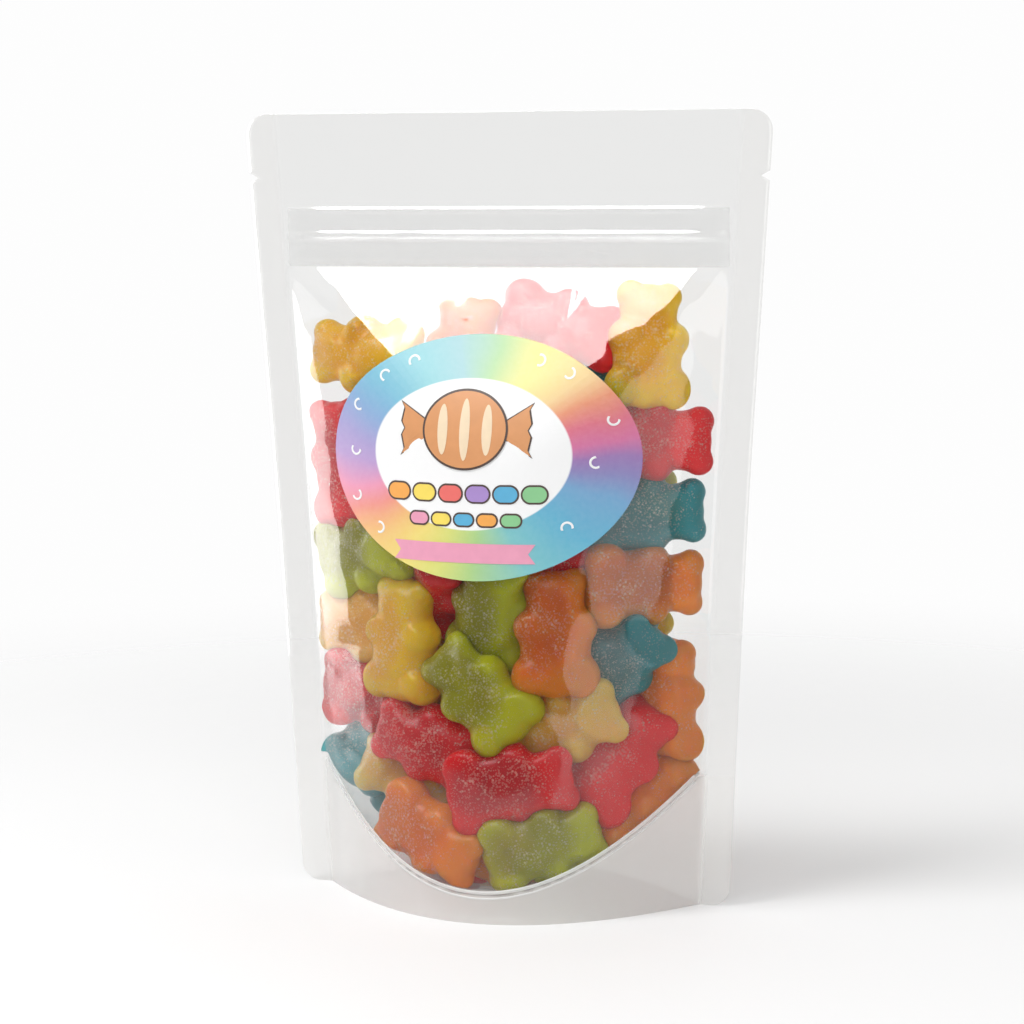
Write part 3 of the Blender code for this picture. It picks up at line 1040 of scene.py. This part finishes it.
def pack_bears(placings, rounds=420):
    """Presses the bears apart and into the bag, a little each round, until they only touch."""
    local = np.array([centre for centre, _ in BEAR_BALLS]) * MM
    radius = np.array([r for _, r in BEAR_BALLS]) * MM * SQUASHED
    count, balls = len(placings), len(local)
    centres = np.array([p.centre for p in placings], float)
    turns = np.array([p.turn for p in placings], float)
    home = centres.copy()
    held = np.array([p.held for p in placings])
    radii = np.tile(radius, count)
    owner = np.repeat(np.arange(count), balls)
    for step in range(rounds):
        arms = np.einsum("nij,bj->nbi", turns, local).reshape(-1, 3)
        points = centres[owner] + arms
        push = bag_push(points, radii)
        touch = (np.abs(push).sum(axis=1) > 0).astype(float)
        near = np.linalg.norm(centres[:, None] - centres[None], axis=2) < 25 * MM
        first, second = np.nonzero(np.triu(near, 1))
        a = (first[:, None] * balls + np.arange(balls)[None]).repeat(balls, axis=1).ravel()
        b = np.tile(second[:, None] * balls + np.arange(balls)[None], (1, balls)).ravel()
        gap = points[b] - points[a]
        distance = np.linalg.norm(gap, axis=1)
        over = radii[a] + radii[b] - distance
        hit = over > 0
        a, b, gap = a[hit], b[hit], gap[hit] / distance[hit, None]
        move = gap * over[hit, None] / 2
        np.add.at(push, a, -move)
        np.add.at(push, b, move)
        np.add.at(touch, a, 1)
        np.add.at(touch, b, 1)
        shift = np.zeros((count, 3))
        twist = np.zeros((count, 3))
        hits = np.zeros(count)
        np.add.at(shift, owner, push)
        np.add.at(twist, owner, np.cross(arms, push))
        np.add.at(hits, owner, touch)
        hits = np.maximum(hits, 1)[:, None] ** 0.6
        centres += shift / hits
        twist[held] *= 0.3
        turns = rotation_of(0.6 * twist / hits / (7 * MM) ** 2) @ turns
        easing = 1 - step / rounds
        centres[held] += (home - centres)[held] * HELD_PULL * easing
        centres[~held, 2] -= 0.10 * MM * easing
    for placing, centre, turn in zip(placings, centres, turns):
        placing.centre, placing.turn = centre, turn


# Painted glow and shade: the deep-coloured core of each bear lies a little up and to the left, towards the
# key light, so the edges away from it are painted brightest, like light shining through.
PAINTED_SHADE_CORE_SHIFT = (-3.2 * MM, 0.0, 1.8 * MM)
BEAR_HALF_WIDTH = 7.6 * MM
BEAR_HALF_HEIGHT = 11.8 * MM


def pressed_inside(points):
    """Flattens a bear softly where it meets the film and the web under it."""
    x, y, z = points.T
    room = np.maximum(half_depth(x, z) - 0.35 * MM, 0.1 * MM)
    y = np.sign(y) * smaller(np.abs(y), room, 1.2 * MM)
    floor = gusset_height(x, y) + 0.3 * MM
    z = -smaller(-z, -floor, 1.2 * MM)
    return np.stack([x, y, z], axis=1)


def cast_bears(placings, materials, draw):
    """A copy of the bear for each placing, each a little different, joined colour by colour."""
    mould = bear_mould()
    shape = points_of(mould)
    pieces = []
    for colour in COLOUR_NAMES:
        copies = []
        for placing in placings:
            if placing.colour != colour:
                continue
            copy = mould.copy()
            copy.data = mould.data.copy()
            bpy.context.scene.collection.objects.link(copy)
            size = draw.uniform(0.96, 1.03)
            bend, twist = draw.uniform(-9, 9), draw.uniform(-0.18, 0.18) / BEAR_LENGTH
            x, y, z = (shape * size).T
            # Painted glow: the rim measure runs out from a core shifted towards the key light.
            painted_shade_core = np.array(PAINTED_SHADE_CORE_SHIFT) @ placing.turn
            across, along = np.abs(x - painted_shade_core[0]) / BEAR_HALF_WIDTH, np.abs(z - painted_shade_core[2]) / BEAR_HALF_HEIGHT
            rim = (across**3 + along**3) ** (1 / 3)
            turned = twist * z
            x, y = x * np.cos(turned) - y * np.sin(turned), x * np.sin(turned) + y * np.cos(turned)
            y = y + bend * z**2
            points = np.stack([x, y, z], axis=1) @ placing.turn.T + placing.centre
            move_points(copy, pressed_inside(points))
            write_attribute(copy, "tint", np.full(len(points), draw.uniform(0.1, 0.9)))
            # thin is painted glow and shade: 0 in the deep core, rising to 1 at the rims, most on the side
            # away from the key light.
            write_attribute(copy, "thin", np.clip((rim - 0.55) / 0.65, 0, 1))
            copies.append(copy)
        pick(*copies)
        bpy.ops.object.join()
        piece = named("gummy_bears_" + colour)
        piece.data.materials.clear()
        piece.data.materials.append(materials[colour])
        pieces.append(piece)
    bpy.data.objects.remove(mould, do_unlink=True)
    return pieces


# ---------------------------------------------------------------- studio


def studio_floor():
    """A round white floor that fades into the white all round it."""
    deselect_all()
    bpy.ops.mesh.primitive_circle_add(vertices=96, radius=0.6, fill_type="NGON")
    floor = named("studio_floor")
    white = new_material("studio_white", (0.95, 0.95, 0.95))
    parts = node(white, "ShaderNodeVectorMath", operation="LENGTH")
    link(white, object_place(white), parts.inputs[0])
    fade = node(white, "ShaderNodeMapRange", interpolation_type="SMOOTHSTEP")
    link(white, parts.outputs["Value"], fade.inputs["Value"])
    fade.inputs["From Min"].default_value = 0.12
    fade.inputs["From Max"].default_value = 0.36
    shader = node(white, "ShaderNodeBsdfPrincipled", Roughness=0.6)
    shader.inputs["Base Color"].default_value = (0.83, 0.83, 0.83, 1)
    shader.inputs["Specular IOR Level"].default_value = 0.2
    clear = node(white, "ShaderNodeBsdfTransparent")
    both = node(white, "ShaderNodeMixShader")
    link(white, fade.outputs[0], both.inputs[0])
    link(white, shader.outputs[0], both.inputs[1])
    link(white, clear.outputs[0], both.inputs[2])
    out = node(white, "ShaderNodeOutputMaterial")
    link(white, both.outputs[0], out.inputs["Surface"])
    floor.data.materials.append(white)


def studio_world():
    """White all round, dimmer in front of the bag, where the camera stands."""
    world = bpy.data.worlds.new("studio_world")
    bpy.context.scene.world = world
    world.use_nodes = True
    world.node_tree.nodes.clear()
    way = node(world, "ShaderNodeTexCoord").outputs["Generated"]
    front = node(world, "ShaderNodeVectorMath", operation="DOT_PRODUCT")
    link(world, way, front.inputs[0])
    front.inputs[1].default_value = Vector((0.05, -1.0, 0.0)).normalized()
    dim = node(world, "ShaderNodeMapRange", interpolation_type="SMOOTHSTEP")
    link(world, front.outputs["Value"], dim.inputs["Value"])
    dim.inputs["From Min"].default_value = 0.20
    dim.inputs["From Max"].default_value = 0.80
    dim.inputs["To Min"].default_value = 0.76
    dim.inputs["To Max"].default_value = 0.18
    seen = node(world, "ShaderNodeLightPath").outputs["Is Camera Ray"]
    level = node(world, "ShaderNodeMix")
    link(world, seen, level.inputs[0])
    link(world, dim.outputs[0], level.inputs[2])
    level.inputs[3].default_value = 0.985
    back = node(world, "ShaderNodeBackground", Color=(1, 1, 1, 1))
    link(world, level.outputs[0], back.inputs["Strength"])
    out = node(world, "ShaderNodeOutputWorld")
    link(world, back.outputs[0], out.inputs["Surface"])


SOFTBOX_DISTANCE = 0.9


def softbox(name, azimuth, elevation, brightness, width, height, seen_by="all"):
    """A flat light at this azimuth round from the front, towards +X, facing the bag's middle.

    seen_by is "gloss" for a card that only shows in reflections, or "matt" for a fill that never does.
    """
    turn, lift = math.radians(azimuth), math.radians(elevation)
    way = Vector((math.sin(turn) * math.cos(lift), -math.cos(turn) * math.cos(lift), math.sin(lift)))
    data = bpy.data.lights.new(name, "AREA")
    data.shape = "RECTANGLE"
    data.size, data.size_y = width, height
    data.energy = brightness * math.pi * width * height
    lamp = bpy.data.objects.new(name, data)
    lamp.location = Vector((0, 0, HEIGHT / 2)) + way * SOFTBOX_DISTANCE
    lamp.rotation_euler = way.to_track_quat("Z", "Y").to_euler()
    lamp.visible_diffuse = seen_by != "gloss"
    lamp.visible_transmission = seen_by != "gloss"
    lamp.visible_glossy = seen_by != "matt"
    bpy.context.scene.collection.objects.link(lamp)


def studio_camera():
    azimuth, pitch, roll = math.radians(15.98), math.radians(7.88), math.radians(-0.67)
    distance, height = 0.530, 0.1458
    data = bpy.data.cameras.new("camera")
    data.sensor_width = 36
    data.lens = 101.5
    data.shift_x = (512 - 507.7) / 1024
    camera = bpy.data.objects.new("camera", data)
    camera.location = (math.sin(azimuth) * distance, -math.cos(azimuth) * distance, height)
    turned = Matrix.Rotation(azimuth, 3, "Z") @ Matrix.Rotation(math.pi / 2 - pitch, 3, "X")
    turned = turned @ Matrix.Rotation(roll, 3, "Z")
    camera.rotation_euler = turned.to_euler()
    bpy.context.scene.collection.objects.link(camera)
    bpy.context.scene.camera = camera


def main():
    draw = random.Random(12)
    studio_camera()
    studio_floor()
    studio_world()
    softbox("key", -48, 55, 11.5, 0.36, 0.36)
    softbox("front_fill", 15, 22, 2.2, 0.80, 0.60, seen_by="matt")
    softbox("shoulder_card", -16, 52, 11.0, 0.42, 0.30, seen_by="gloss")
    softbox("left_card", -106, 10, 4.8, 0.62, 0.80, seen_by="gloss")
    softbox("right_card", 46, 8, 1.5, 0.45, 0.70, seen_by="gloss")

    film = film_material()
    front = film_panel("front_film", -1, film)
    back = film_panel("back_film", 1, film)
    web = gusset_web(film)
    strip = zip_strip(milky_plastic("zip_strip", 0.24))
    # The seam beads are far milkier than the zip: partly the weld's own whiteness, partly a painted
    # highlight standing in for the bright glint along the base seam.
    beads = seam_beads(milky_plastic("seam_bead", 0.8))
    rim = oval_outline(*LABEL_HALF, 96)
    label = patch("label_sheet", rim, LABEL_CENTRE, 0.0, 0.12 * MM, label_material(), rings=14)
    marks = label_marks({name: ink_material("ink_" + name, colour) for name, colour in INKS.items()})

    # Each gummy: a bright rim colour, a deep middle colour and a spread of light under the skin. The two
    # colours carry the painted glow and shade.
    colours = {
        "red": gummy_material("gummy_red", (0.98, 0.008, 0.014), (0.30, 0.003, 0.012), (1.0, 0.2, 0.2)),
        "orange": gummy_material("gummy_orange", (1.0, 0.28, 0.006), (0.46, 0.050, 0.003), (1.0, 0.4, 0.1)),
        "amber": gummy_material("gummy_amber", (1.0, 0.56, 0.07), (0.58, 0.21, 0.03), (1.0, 0.6, 0.2)),
        "yellow": gummy_material("gummy_yellow", (1.0, 0.62, 0.003), (0.68, 0.26, 0.02), (1.0, 0.7, 0.1)),
        "green": gummy_material("gummy_green", (0.56, 0.60, 0.003), (0.14, 0.070, 0.008), (0.9, 0.8, 0.1)),
        "teal": gummy_material("gummy_teal", (0.015, 0.30, 0.34), (0.024, 0.042, 0.042), (0.3, 0.8, 0.9)),
    }
    placings = front_placings() + hidden_placings(draw)
    pack_bears(placings)
    bears = cast_bears(placings, colours, draw)

    pieces = [front, back, web, strip, beads, label, marks, *bears]
    for piece in pieces:
        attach(piece, "root")
    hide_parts("pouch")
    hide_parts("zip")
    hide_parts("label")

    scene = bpy.context.scene
    scene.view_settings.view_transform = "Standard"
    scene.cycles.transparent_max_bounces = 24
    scene.cycles.max_bounces = 7
    scene.cycles.diffuse_bounces = 2
    scene.cycles.glossy_bounces = 2
    scene.cycles.transmission_bounces = 5


main()
